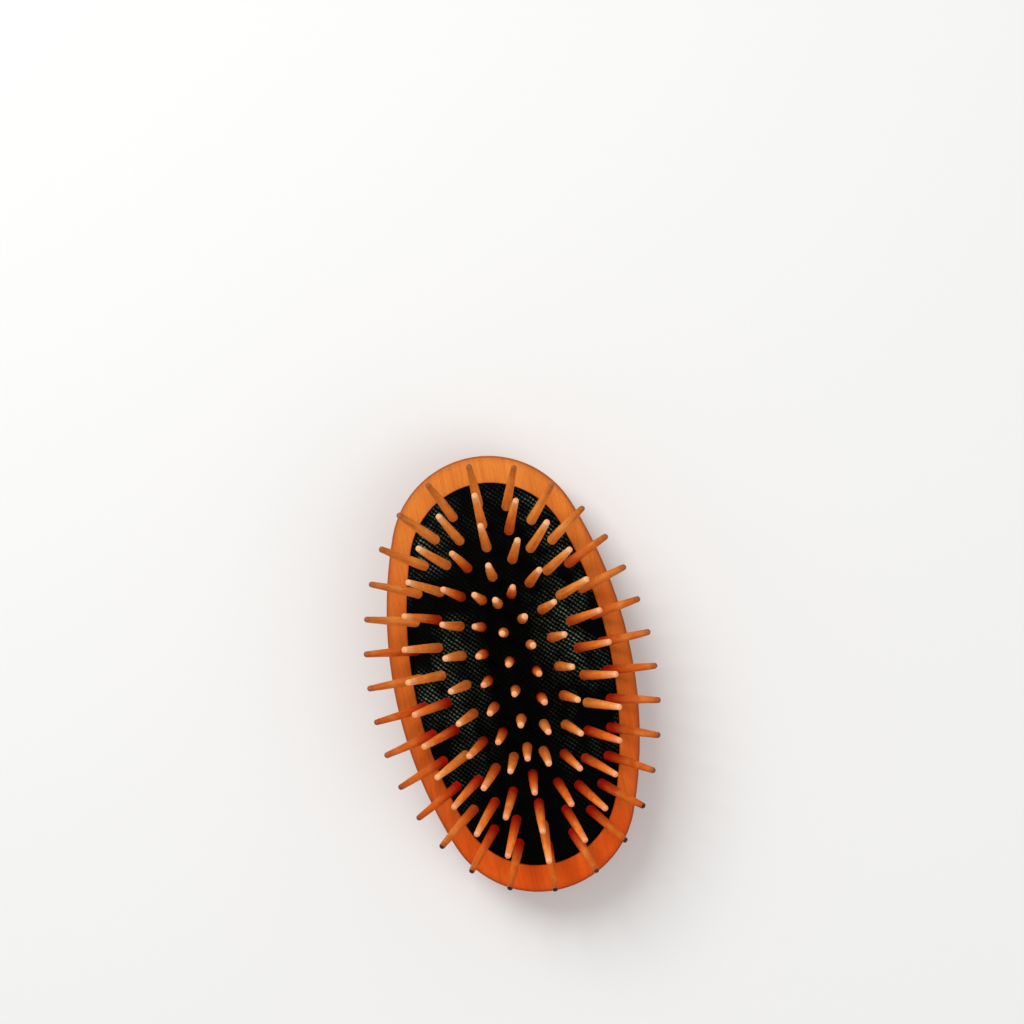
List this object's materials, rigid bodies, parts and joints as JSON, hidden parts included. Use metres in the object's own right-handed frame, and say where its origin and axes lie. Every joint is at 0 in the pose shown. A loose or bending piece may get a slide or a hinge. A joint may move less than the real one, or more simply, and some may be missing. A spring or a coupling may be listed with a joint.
{
  "type": "curry comb",
  "caption": "Oval horse grooming brush: a wooden palm block with tapered wooden pins set in a domed, cloth-faced rubber cushion that gives when pressed.",
  "frame": {"origin": "middle of the block's flat back, which is the bottom centre of the whole brush", "axes": "+X along the length of the oval, +Y across it, +Z out of the pin side"},
  "size_m": [0.145, 0.0934, 0.0525],
  "materials": {
    "wood_block": "oiled and lightly lacquered orange-brown hardwood",
    "wood_pins": "turned and tumbled smooth, oiled",
    "rubber": "matt black",
    "woven_cloth": "tight black twill with dark green flecks"
  },
  "bodies": {
    "block": {"wooden_block": "wood_block"},
    "cushion": {"rubber_cushion": "rubber", "fabric_facing": "woven_cloth"},
    "outer_ring_pins_01": {"outer_ring_pins_01": "wood_pins"},
    "outer_ring_pins_02": {"outer_ring_pins_02": "wood_pins"},
    "outer_ring_pins_03": {"outer_ring_pins_03": "wood_pins"},
    "outer_ring_pins_04": {"outer_ring_pins_04": "wood_pins"},
    "outer_ring_pins_05": {"outer_ring_pins_05": "wood_pins"},
    "outer_ring_pins_06": {"outer_ring_pins_06": "wood_pins"},
    "outer_ring_pins_07": {"outer_ring_pins_07": "wood_pins"},
    "outer_ring_pins_08": {"outer_ring_pins_08": "wood_pins"},
    "outer_ring_pins_09": {"outer_ring_pins_09": "wood_pins"},
    "outer_ring_pins_10": {"outer_ring_pins_10": "wood_pins"},
    "outer_ring_pins_11": {"outer_ring_pins_11": "wood_pins"},
    "outer_ring_pins_12": {"outer_ring_pins_12": "wood_pins"},
    "outer_ring_pins_13": {"outer_ring_pins_13": "wood_pins"},
    "outer_ring_pins_14": {"outer_ring_pins_14": "wood_pins"},
    "outer_ring_pins_15": {"outer_ring_pins_15": "wood_pins"},
    "second_ring_pins_01": {"second_ring_pins_01": "wood_pins"},
    "second_ring_pins_02": {"second_ring_pins_02": "wood_pins"},
    "second_ring_pins_03": {"second_ring_pins_03": "wood_pins"},
    "second_ring_pins_04": {"second_ring_pins_04": "wood_pins"},
    "second_ring_pins_05": {"second_ring_pins_05": "wood_pins"},
    "second_ring_pins_06": {"second_ring_pins_06": "wood_pins"},
    "second_ring_pins_07": {"second_ring_pins_07": "wood_pins"},
    "second_ring_pins_08": {"second_ring_pins_08": "wood_pins"},
    "second_ring_pins_09": {"second_ring_pins_09": "wood_pins"},
    "second_ring_pins_10": {"second_ring_pins_10": "wood_pins"},
    "second_ring_pins_11": {"second_ring_pins_11": "wood_pins"},
    "second_ring_pins_12": {"second_ring_pins_12": "wood_pins"},
    "second_ring_pins_13": {"second_ring_pins_13": "wood_pins"},
    "third_ring_pins_01": {"third_ring_pins_01": "wood_pins"},
    "third_ring_pins_02": {"third_ring_pins_02": "wood_pins"},
    "third_ring_pins_03": {"third_ring_pins_03": "wood_pins"},
    "third_ring_pins_04": {"third_ring_pins_04": "wood_pins"},
    "third_ring_pins_05": {"third_ring_pins_05": "wood_pins"},
    "third_ring_pins_06": {"third_ring_pins_06": "wood_pins"},
    "third_ring_pins_07": {"third_ring_pins_07": "wood_pins"},
    "third_ring_pins_08": {"third_ring_pins_08": "wood_pins"},
    "third_ring_pins_09": {"third_ring_pins_09": "wood_pins"},
    "third_ring_pins_10": {"third_ring_pins_10": "wood_pins"},
    "fourth_ring_pins_01": {"fourth_ring_pins_01": "wood_pins"},
    "fourth_ring_pins_02": {"fourth_ring_pins_02": "wood_pins"},
    "fourth_ring_pins_03": {"fourth_ring_pins_03": "wood_pins"},
    "fourth_ring_pins_04": {"fourth_ring_pins_04": "wood_pins"},
    "fourth_ring_pins_05": {"fourth_ring_pins_05": "wood_pins"},
    "fourth_ring_pins_06": {"fourth_ring_pins_06": "wood_pins"},
    "fourth_ring_pins_07": {"fourth_ring_pins_07": "wood_pins"},
    "fourth_ring_pins_08": {"fourth_ring_pins_08": "wood_pins"},
    "middle_row_pins_01": {"middle_row_pins_01": "wood_pins"},
    "middle_row_pins_02": {"middle_row_pins_02": "wood_pins"},
    "middle_row_pins_03": {"middle_row_pins_03": "wood_pins"}
  },
  "joints": [
    {"name": "cushion_press", "type": "slide", "parent": "block", "child": "cushion", "axis": [0, 0, -1], "range_m": [0, 0.004], "stiffness_N_per_m": 1500, "deforming": ["rubber_cushion", "fabric_facing"]},
    {"name": "outer_ring_pins_01_sink", "type": "hinge", "parent": "block", "child": "outer_ring_pins_01", "pos_m": [0.06148, 0.00612, 0.02327], "axis": [0.2707, -0.9627, 0], "range_deg": [0, 12.93]},
    {"name": "outer_ring_pins_02_sink", "type": "hinge", "parent": "block", "child": "outer_ring_pins_02", "pos_m": [0.04748, 0.0231, 0.02313], "axis": [0.827, -0.5622, 0], "range_deg": [0, 14.02]},
    {"name": "outer_ring_pins_03_sink", "type": "hinge", "parent": "block", "child": "outer_ring_pins_03", "pos_m": [0.029, 0.03108, 0.02299], "axis": [0.9584, -0.2855, 0], "range_deg": [0, 14.76]},
    {"name": "outer_ring_pins_04_sink", "type": "hinge", "parent": "block", "child": "outer_ring_pins_04", "pos_m": [0.00972, 0.03448, 0.02291], "axis": [0.9961, -0.0885, 0], "range_deg": [0, 15.04]},
    {"name": "outer_ring_pins_05_sink", "type": "hinge", "parent": "block", "child": "outer_ring_pins_05", "pos_m": [-0.00972, 0.03448, 0.02291], "axis": [0.9961, 0.0885, 0], "range_deg": [0, 15.04]},
    {"name": "outer_ring_pins_06_sink", "type": "hinge", "parent": "block", "child": "outer_ring_pins_06", "pos_m": [-0.029, 0.03108, 0.02299], "axis": [0.9584, 0.2855, 0], "range_deg": [0, 14.76]},
    {"name": "outer_ring_pins_07_sink", "type": "hinge", "parent": "block", "child": "outer_ring_pins_07", "pos_m": [-0.04748, 0.0231, 0.02313], "axis": [0.827, 0.5622, 0], "range_deg": [0, 14.02]},
    {"name": "outer_ring_pins_08_sink", "type": "hinge", "parent": "block", "child": "outer_ring_pins_08", "pos_m": [-0.06148, 0.00612, 0.02327], "axis": [0.2707, 0.9627, 0], "range_deg": [0, 12.93]},
    {"name": "outer_ring_pins_09_sink", "type": "hinge", "parent": "block", "child": "outer_ring_pins_09", "pos_m": [-0.05572, -0.01622, 0.02321], "axis": [-0.6484, 0.7613, 0], "range_deg": [0, 13.43]},
    {"name": "outer_ring_pins_10_sink", "type": "hinge", "parent": "block", "child": "outer_ring_pins_10", "pos_m": [-0.03841, -0.02782, 0.02306], "axis": [-0.9129, 0.4081, 0], "range_deg": [0, 14.47]},
    {"name": "outer_ring_pins_11_sink", "type": "hinge", "parent": "block", "child": "outer_ring_pins_11", "pos_m": [-0.01941, -0.03324, 0.02294], "axis": [-0.9833, 0.1818, 0], "range_deg": [0, 14.94]},
    {"name": "outer_ring_pins_12_sink", "type": "hinge", "parent": "block", "child": "outer_ring_pins_12", "pos_m": [0, -0.03489, 0.0229], "axis": [-1, 0, 0], "range_deg": [0, 15.07]},
    {"name": "outer_ring_pins_13_sink", "type": "hinge", "parent": "block", "child": "outer_ring_pins_13", "pos_m": [0.01941, -0.03324, 0.02294], "axis": [-0.9833, -0.1818, 0], "range_deg": [0, 14.94]},
    {"name": "outer_ring_pins_14_sink", "type": "hinge", "parent": "block", "child": "outer_ring_pins_14", "pos_m": [0.03841, -0.02782, 0.02306], "axis": [-0.9129, -0.4081, 0], "range_deg": [0, 14.47]},
    {"name": "outer_ring_pins_15_sink", "type": "hinge", "parent": "block", "child": "outer_ring_pins_15", "pos_m": [0.05572, -0.01622, 0.02321], "axis": [-0.6484, -0.7613, 0], "range_deg": [0, 13.43]},
    {"name": "second_ring_pins_01_sink", "type": "hinge", "parent": "block", "child": "second_ring_pins_01", "pos_m": [0.05927, 0.00868, 0.02513], "axis": [0.3783, -0.9257, 0], "range_deg": [0, 10.39]},
    {"name": "second_ring_pins_02_sink", "type": "hinge", "parent": "block", "child": "second_ring_pins_02", "pos_m": [0.04081, 0.02767, 0.02564], "axis": [0.9063, -0.4227, 0], "range_deg": [0, 10.57]},
    {"name": "second_ring_pins_03_sink", "type": "hinge", "parent": "block", "child": "second_ring_pins_03", "pos_m": [0.02046, 0.03469, 0.02607], "axis": [0.9844, -0.1759, 0], "range_deg": [0, 10.77]},
    {"name": "second_ring_pins_04_sink", "type": "hinge", "parent": "block", "child": "second_ring_pins_04", "pos_m": [0, 0.03677, 0.02622], "axis": [1, 0, 0], "range_deg": [0, 10.8]},
    {"name": "second_ring_pins_05_sink", "type": "hinge", "parent": "block", "child": "second_ring_pins_05", "pos_m": [-0.02046, 0.03469, 0.02607], "axis": [0.9844, 0.1759, 0], "range_deg": [0, 10.77]},
    {"name": "second_ring_pins_06_sink", "type": "hinge", "parent": "block", "child": "second_ring_pins_06", "pos_m": [-0.04081, 0.02767, 0.02564], "axis": [0.9063, 0.4227, 0], "range_deg": [0, 10.57]},
    {"name": "second_ring_pins_07_sink", "type": "hinge", "parent": "block", "child": "second_ring_pins_07", "pos_m": [-0.05927, 0.00868, 0.02513], "axis": [0.3783, 0.9257, 0], "range_deg": [0, 10.39]},
    {"name": "second_ring_pins_08_sink", "type": "hinge", "parent": "block", "child": "second_ring_pins_08", "pos_m": [-0.05084, -0.02087, 0.02536], "axis": [-0.7767, 0.6299, 0], "range_deg": [0, 10.39]},
    {"name": "second_ring_pins_09_sink", "type": "hinge", "parent": "block", "child": "second_ring_pins_09", "pos_m": [-0.03065, -0.03194, 0.02589], "axis": [-0.9591, 0.2831, 0], "range_deg": [0, 10.71]},
    {"name": "second_ring_pins_10_sink", "type": "hinge", "parent": "block", "child": "second_ring_pins_10", "pos_m": [-0.01024, -0.03626, 0.02618], "axis": [-0.9964, 0.0847, 0], "range_deg": [0, 10.79]},
    {"name": "second_ring_pins_11_sink", "type": "hinge", "parent": "block", "child": "second_ring_pins_11", "pos_m": [0.01024, -0.03626, 0.02618], "axis": [-0.9964, -0.0847, 0], "range_deg": [0, 10.79]},
    {"name": "second_ring_pins_12_sink", "type": "hinge", "parent": "block", "child": "second_ring_pins_12", "pos_m": [0.03065, -0.03194, 0.02589], "axis": [-0.9591, -0.2831, 0], "range_deg": [0, 10.71]},
    {"name": "second_ring_pins_13_sink", "type": "hinge", "parent": "block", "child": "second_ring_pins_13", "pos_m": [0.05084, -0.02087, 0.02536], "axis": [-0.7767, -0.6299, 0], "range_deg": [0, 10.39]},
    {"name": "third_ring_pins_01_sink", "type": "hinge", "parent": "block", "child": "third_ring_pins_01", "pos_m": [0.05863, 0.01739, 0.02663], "axis": [0.5875, -0.8093, 0], "range_deg": [0, 6.96]},
    {"name": "third_ring_pins_02_sink", "type": "hinge", "parent": "block", "child": "third_ring_pins_02", "pos_m": [0.03161, 0.04472, 0.0276], "axis": [0.9714, -0.2376, 0], "range_deg": [0, 5.59]},
    {"name": "third_ring_pins_03_sink", "type": "hinge", "parent": "block", "child": "third_ring_pins_03", "pos_m": [0.00642, 0.05482, 0.02809], "axis": [0.9992, -0.0409, 0], "range_deg": [0, 4.96]},
    {"name": "third_ring_pins_04_sink", "type": "hinge", "parent": "block", "child": "third_ring_pins_04", "pos_m": [-0.0191, 0.05115, 0.02792], "axis": [0.9917, 0.1284, 0], "range_deg": [0, 5.19]},
    {"name": "third_ring_pins_05_sink", "type": "hinge", "parent": "block", "child": "third_ring_pins_05", "pos_m": [-0.04448, 0.03558, 0.02712], "axis": [0.9124, 0.4093, 0], "range_deg": [0, 6.06]},
    {"name": "third_ring_pins_06_sink", "type": "hinge", "parent": "block", "child": "third_ring_pins_06", "pos_m": [-0.05863, -0.01739, 0.02663], "axis": [-0.5875, 0.8093, 0], "range_deg": [0, 6.96]},
    {"name": "third_ring_pins_07_sink", "type": "hinge", "parent": "block", "child": "third_ring_pins_07", "pos_m": [-0.03161, -0.04472, 0.0276], "axis": [-0.9714, 0.2376, 0], "range_deg": [0, 5.59]},
    {"name": "third_ring_pins_08_sink", "type": "hinge", "parent": "block", "child": "third_ring_pins_08", "pos_m": [-0.00642, -0.05482, 0.02809], "axis": [-0.9992, 0.0409, 0], "range_deg": [0, 4.96]},
    {"name": "third_ring_pins_09_sink", "type": "hinge", "parent": "block", "child": "third_ring_pins_09", "pos_m": [0.0191, -0.05115, 0.02792], "axis": [-0.9917, -0.1284, 0], "range_deg": [0, 5.19]},
    {"name": "third_ring_pins_10_sink", "type": "hinge", "parent": "block", "child": "third_ring_pins_10", "pos_m": [0.04448, -0.03558, 0.02712], "axis": [-0.9124, -0.4093, 0], "range_deg": [0, 6.06]},
    {"name": "fourth_ring_pins_01_sink", "type": "slide", "parent": "block", "child": "fourth_ring_pins_01", "axis": [0, 0, -1], "range_m": [0, 0.00341]},
    {"name": "fourth_ring_pins_02_sink", "type": "slide", "parent": "block", "child": "fourth_ring_pins_02", "axis": [0, 0, -1], "range_m": [0, 0.00379]},
    {"name": "fourth_ring_pins_03_sink", "type": "slide", "parent": "block", "child": "fourth_ring_pins_03", "axis": [0, 0, -1], "range_m": [0, 0.00386]},
    {"name": "fourth_ring_pins_04_sink", "type": "slide", "parent": "block", "child": "fourth_ring_pins_04", "axis": [0, 0, -1], "range_m": [0, 0.00362]},
    {"name": "fourth_ring_pins_05_sink", "type": "slide", "parent": "block", "child": "fourth_ring_pins_05", "axis": [0, 0, -1], "range_m": [0, 0.00341]},
    {"name": "fourth_ring_pins_06_sink", "type": "slide", "parent": "block", "child": "fourth_ring_pins_06", "axis": [0, 0, -1], "range_m": [0, 0.00379]},
    {"name": "fourth_ring_pins_07_sink", "type": "slide", "parent": "block", "child": "fourth_ring_pins_07", "axis": [0, 0, -1], "range_m": [0, 0.00386]},
    {"name": "fourth_ring_pins_08_sink", "type": "slide", "parent": "block", "child": "fourth_ring_pins_08", "axis": [0, 0, -1], "range_m": [0, 0.00362]},
    {"name": "middle_row_pins_01_tilt", "type": "hinge", "parent": "cushion", "child": "middle_row_pins_01", "pos_m": [-0.019, 0, 0.0289], "axis": [0.9982, 0, 0.0605], "range_deg": [-6, 6], "stiffness_Nm_per_rad": 0.02},
    {"name": "middle_row_pins_02_tilt", "type": "hinge", "parent": "cushion", "child": "middle_row_pins_02", "pos_m": [0, 0, 0.02947], "axis": [1, 0, 0], "range_deg": [-6, 6], "stiffness_Nm_per_rad": 0.02},
    {"name": "middle_row_pins_03_tilt", "type": "hinge", "parent": "cushion", "child": "middle_row_pins_03", "pos_m": [0.019, 0, 0.0289], "axis": [0.9982, 0, -0.0605], "range_deg": [-6, 6], "stiffness_Nm_per_rad": 0.02}
  ],
  "couplings": [
    {"joint": "outer_ring_pins_01_sink", "follows": "cushion_press", "rad_per_m": 55.838},
    {"joint": "outer_ring_pins_02_sink", "follows": "cushion_press", "rad_per_m": 60.558},
    {"joint": "outer_ring_pins_03_sink", "follows": "cushion_press", "rad_per_m": 63.776},
    {"joint": "outer_ring_pins_04_sink", "follows": "cushion_press", "rad_per_m": 64.965},
    {"joint": "outer_ring_pins_05_sink", "follows": "cushion_press", "rad_per_m": 64.965},
    {"joint": "outer_ring_pins_06_sink", "follows": "cushion_press", "rad_per_m": 63.776},
    {"joint": "outer_ring_pins_07_sink", "follows": "cushion_press", "rad_per_m": 60.558},
    {"joint": "outer_ring_pins_08_sink", "follows": "cushion_press", "rad_per_m": 55.838},
    {"joint": "outer_ring_pins_09_sink", "follows": "cushion_press", "rad_per_m": 58.011},
    {"joint": "outer_ring_pins_10_sink", "follows": "cushion_press", "rad_per_m": 62.497},
    {"joint": "outer_ring_pins_11_sink", "follows": "cushion_press", "rad_per_m": 64.553},
    {"joint": "outer_ring_pins_12_sink", "follows": "cushion_press", "rad_per_m": 65.094},
    {"joint": "outer_ring_pins_13_sink", "follows": "cushion_press", "rad_per_m": 64.553},
    {"joint": "outer_ring_pins_14_sink", "follows": "cushion_press", "rad_per_m": 62.497},
    {"joint": "outer_ring_pins_15_sink", "follows": "cushion_press", "rad_per_m": 58.011},
    {"joint": "second_ring_pins_01_sink", "follows": "cushion_press", "rad_per_m": 44.901},
    {"joint": "second_ring_pins_02_sink", "follows": "cushion_press", "rad_per_m": 45.683},
    {"joint": "second_ring_pins_03_sink", "follows": "cushion_press", "rad_per_m": 46.538},
    {"joint": "second_ring_pins_04_sink", "follows": "cushion_press", "rad_per_m": 46.653},
    {"joint": "second_ring_pins_05_sink", "follows": "cushion_press", "rad_per_m": 46.538},
    {"joint": "second_ring_pins_06_sink", "follows": "cushion_press", "rad_per_m": 45.683},
    {"joint": "second_ring_pins_07_sink", "follows": "cushion_press", "rad_per_m": 44.901},
    {"joint": "second_ring_pins_08_sink", "follows": "cushion_press", "rad_per_m": 44.903},
    {"joint": "second_ring_pins_09_sink", "follows": "cushion_press", "rad_per_m": 46.261},
    {"joint": "second_ring_pins_10_sink", "follows": "cushion_press", "rad_per_m": 46.633},
    {"joint": "second_ring_pins_11_sink", "follows": "cushion_press", "rad_per_m": 46.633},
    {"joint": "second_ring_pins_12_sink", "follows": "cushion_press", "rad_per_m": 46.261},
    {"joint": "second_ring_pins_13_sink", "follows": "cushion_press", "rad_per_m": 44.903},
    {"joint": "third_ring_pins_01_sink", "follows": "cushion_press", "rad_per_m": 30.079},
    {"joint": "third_ring_pins_02_sink", "follows": "cushion_press", "rad_per_m": 24.143},
    {"joint": "third_ring_pins_03_sink", "follows": "cushion_press", "rad_per_m": 21.414},
    {"joint": "third_ring_pins_04_sink", "follows": "cushion_press", "rad_per_m": 22.441},
    {"joint": "third_ring_pins_05_sink", "follows": "cushion_press", "rad_per_m": 26.167},
    {"joint": "third_ring_pins_06_sink", "follows": "cushion_press", "rad_per_m": 30.079},
    {"joint": "third_ring_pins_07_sink", "follows": "cushion_press", "rad_per_m": 24.143},
    {"joint": "third_ring_pins_08_sink", "follows": "cushion_press", "rad_per_m": 21.414},
    {"joint": "third_ring_pins_09_sink", "follows": "cushion_press", "rad_per_m": 22.441},
    {"joint": "third_ring_pins_10_sink", "follows": "cushion_press", "rad_per_m": 26.167},
    {"joint": "fourth_ring_pins_01_sink", "follows": "cushion_press", "ratio": 0.8442},
    {"joint": "fourth_ring_pins_02_sink", "follows": "cushion_press", "ratio": 0.9368},
    {"joint": "fourth_ring_pins_03_sink", "follows": "cushion_press", "ratio": 0.9567},
    {"joint": "fourth_ring_pins_04_sink", "follows": "cushion_press", "ratio": 0.8968},
    {"joint": "fourth_ring_pins_05_sink", "follows": "cushion_press", "ratio": 0.8442},
    {"joint": "fourth_ring_pins_06_sink", "follows": "cushion_press", "ratio": 0.9368},
    {"joint": "fourth_ring_pins_07_sink", "follows": "cushion_press", "ratio": 0.9567},
    {"joint": "fourth_ring_pins_08_sink", "follows": "cushion_press", "ratio": 0.8968}
  ]
}
